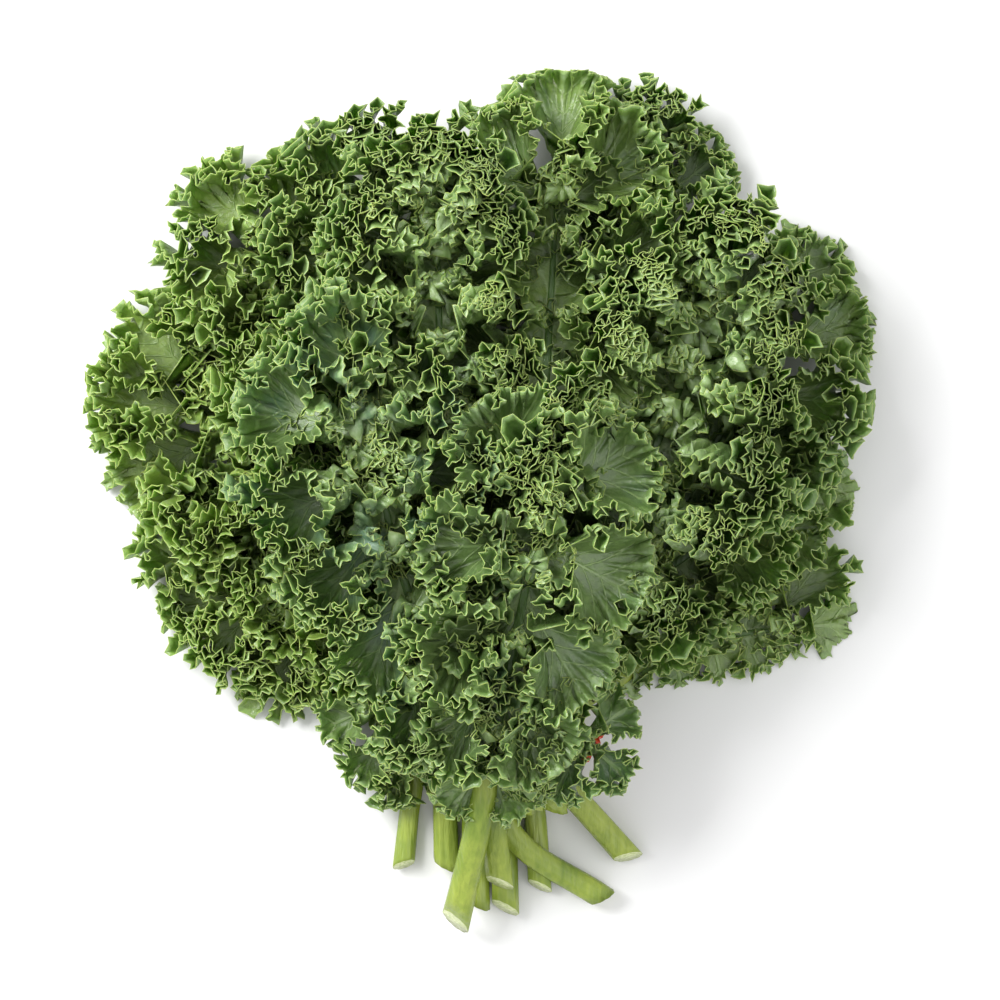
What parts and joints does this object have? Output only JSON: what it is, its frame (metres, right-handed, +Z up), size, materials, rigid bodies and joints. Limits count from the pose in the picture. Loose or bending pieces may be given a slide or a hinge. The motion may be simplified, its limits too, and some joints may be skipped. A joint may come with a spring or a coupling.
{
  "type": "kale bunch",
  "caption": "Bunch of curly kale lying on its side, the ruffled leaves layered in a fan and the bare cut stems gathered in a twist tie.",
  "frame": {"origin": "on the surface under the bunch, at the middle of its bounding box", "axes": "+X to the right, +Y from the cut stems to the leaf tips, +Z up from the surface the bunch lies on"},
  "size_m": [0.3062, 0.3216, 0.107],
  "materials": {
    "kale_leaf": "waxy green leaf, pale veins and stem",
    "twist_tie": "red plastic film over a thin wire"
  },
  "bodies": {
    "root": {"leaf_01": "kale_leaf", "leaf_02": "kale_leaf", "leaf_03": "kale_leaf", "leaf_04": "kale_leaf", "leaf_05": "kale_leaf", "leaf_06": "kale_leaf", "leaf_07": "kale_leaf", "leaf_08": "kale_leaf", "leaf_09": "kale_leaf", "leaf_10": "kale_leaf", "leaf_11": "kale_leaf", "leaf_12": "kale_leaf", "leaf_13": "kale_leaf", "leaf_14": "kale_leaf", "leaf_15": "kale_leaf", "twist_tie": "twist_tie"}
  },
  "joints": []
}
